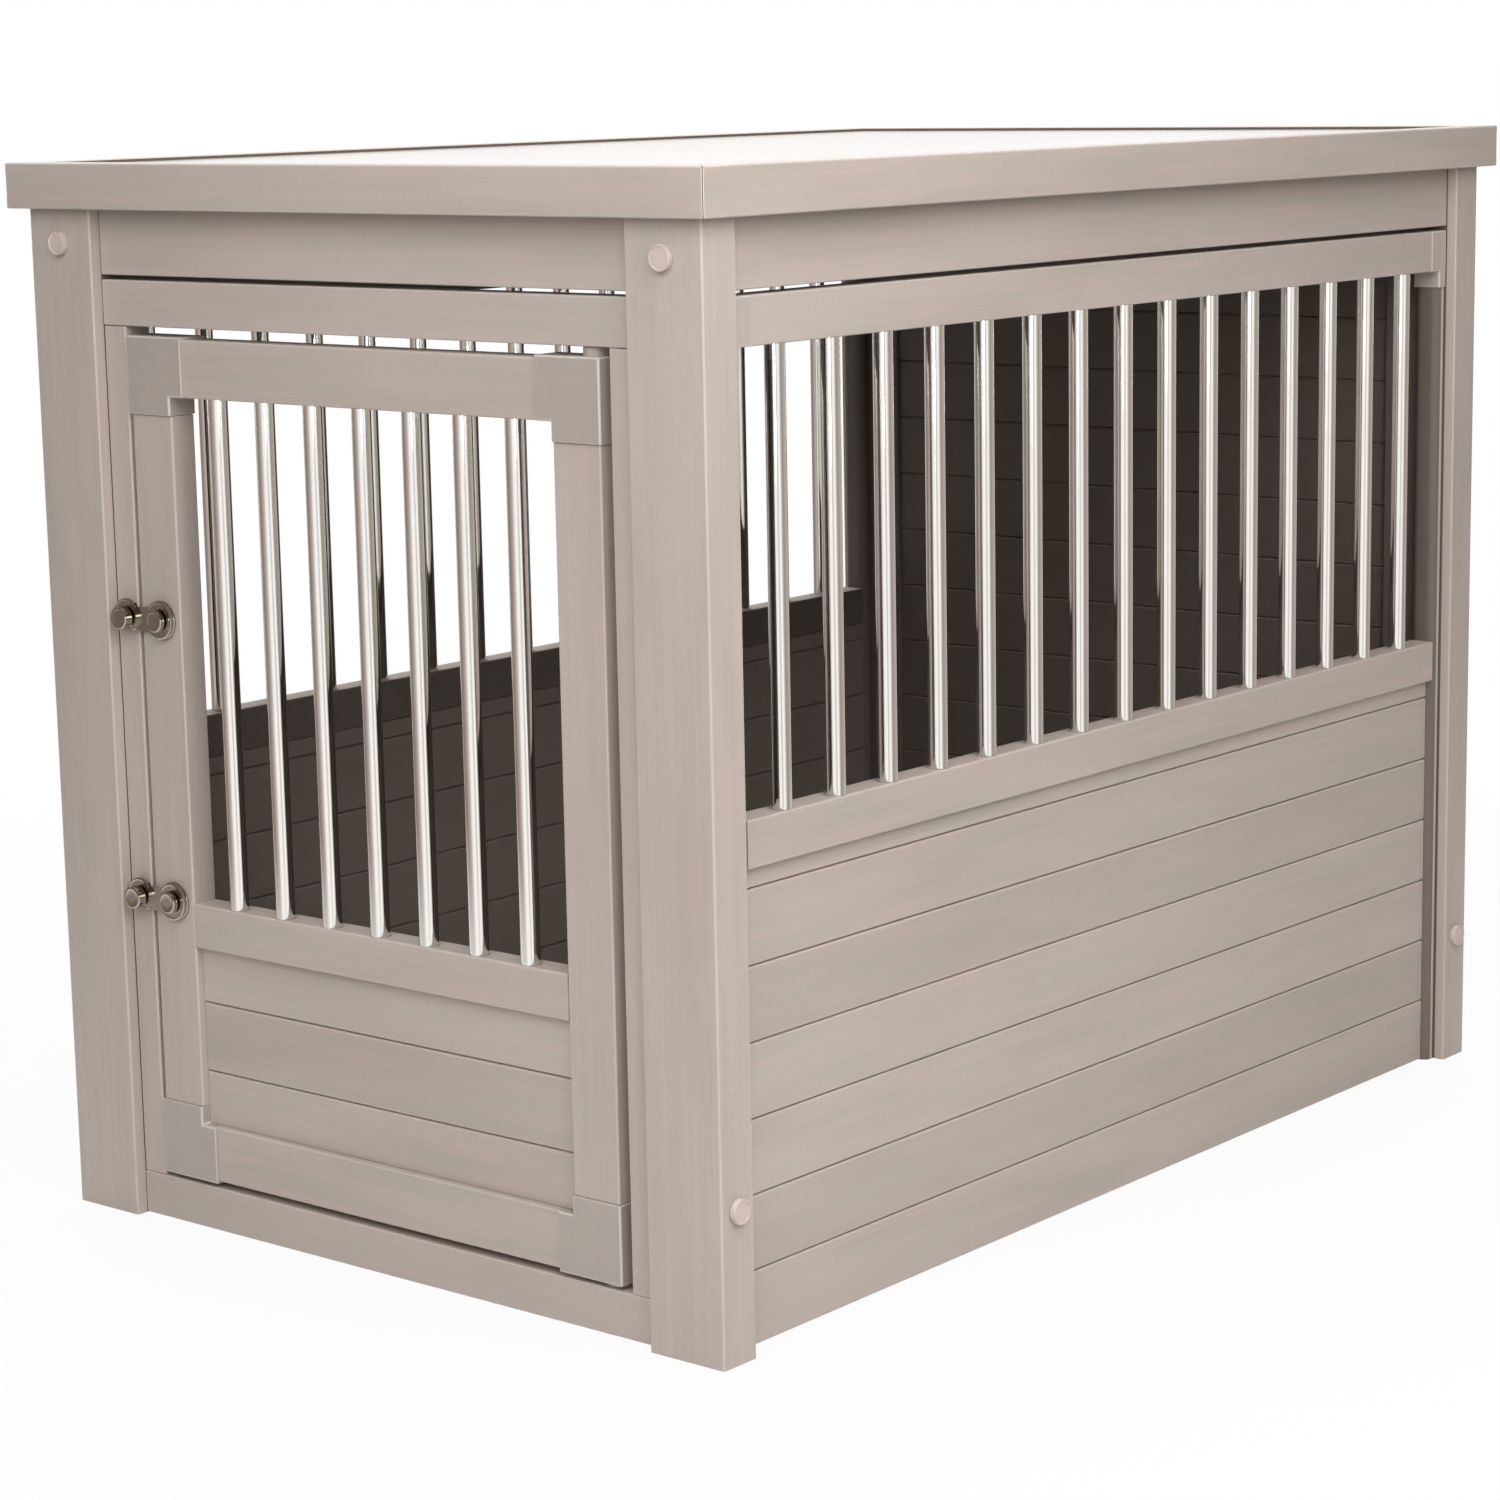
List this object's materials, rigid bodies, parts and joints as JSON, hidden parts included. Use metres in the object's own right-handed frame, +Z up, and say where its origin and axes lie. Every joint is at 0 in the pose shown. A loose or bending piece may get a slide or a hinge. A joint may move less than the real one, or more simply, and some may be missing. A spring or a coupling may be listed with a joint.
{
  "type": "dog crate end table",
  "caption": "Dog crate that doubles as an end table: flat framed top, slatted sides and back, metal tube windows, barred end door on pivot pins with swing hook latches.",
  "frame": {"origin": "on the ground under the middle of the table", "axes": "+Z up, +Y along the long sides from the door end to the back, +X to the right for someone facing the door"},
  "size_m": [0.575, 0.878, 0.68],
  "materials": {
    "boards": "matt taupe-grey wood and plastic composite with fine lengthwise streaks",
    "top_panel": "satin taupe-grey composite panel",
    "mouldings": "smooth moulded plastic, a little greyer than the boards",
    "plugs": "smooth moulded plastic caps",
    "tubes": "bright polished stainless steel",
    "latches": "satin nickel-plated steel"
  },
  "bodies": {
    "crate": {"top_panel": "top_panel", "top_edge_front": "boards", "top_edge_back": "boards", "top_edge_left": "boards", "top_edge_right": "boards", "post_front_left": "boards", "post_front_right": "boards", "post_back_left": "boards", "post_back_right": "boards", "plug_front_left": "plugs", "plug_front_right": "plugs", "plug_side_front_left": "plugs", "plug_side_front_right": "plugs", "plug_side_back_left": "plugs", "plug_side_back_right": "plugs", "apron_front": "boards", "apron_back": "boards", "apron_left": "boards", "apron_right": "boards", "side_top_rail_left": "boards", "side_mid_rail_left": "boards", "side_slats_left": "boards", "side_tube_comb_left": "tubes", "side_stile_front_left": "mouldings", "side_stile_back_left": "mouldings", "side_top_rail_right": "boards", "side_mid_rail_right": "boards", "side_slats_right": "boards", "side_tube_comb_right": "tubes", "side_stile_front_right": "mouldings", "side_stile_back_right": "mouldings", "back_panel": "boards", "floor_panel": "boards", "door_header": "boards", "door_sill": "boards", "doorway_stile_left": "boards", "doorway_stile_right": "boards", "latch_keeper_upper": "latches", "latch_keeper_lower": "latches"},
    "door": {"door_rail_top": "boards", "door_rail_mid": "boards", "door_rail_bottom": "boards", "door_stile_latch_side": "boards", "door_stile_hinge_side": "boards", "door_slats": "boards", "door_elbow_top_left": "mouldings", "door_elbow_bottom_left": "mouldings", "door_elbow_top_right": "mouldings", "door_elbow_bottom_right": "mouldings", "door_tube_1": "tubes", "door_tube_2": "tubes", "door_tube_3": "tubes", "door_tube_4": "tubes", "door_tube_5": "tubes", "door_tube_6": "tubes", "door_tube_7": "tubes", "latch_stud_upper": "latches", "latch_stud_lower": "latches"},
    "latch_upper": {"latch_hook_upper": "latches"},
    "latch_lower": {"latch_hook_lower": "latches"}
  },
  "joints": [
    {"name": "door_hinge", "type": "hinge", "parent": "crate", "child": "door", "pos_m": [0.18394, -0.4115, 0.3], "axis": [0, 0, 1], "range_deg": [0, 110]},
    {"name": "latch_upper_pivot", "type": "hinge", "parent": "door", "child": "latch_upper", "pos_m": [-0.179, -0.4243, 0.3955], "axis": [0, 1, 0], "range_deg": [0, 100]},
    {"name": "latch_lower_pivot", "type": "hinge", "parent": "door", "child": "latch_lower", "pos_m": [-0.179, -0.4243, 0.2145], "axis": [0, 1, 0], "range_deg": [0, 100]}
  ]
}
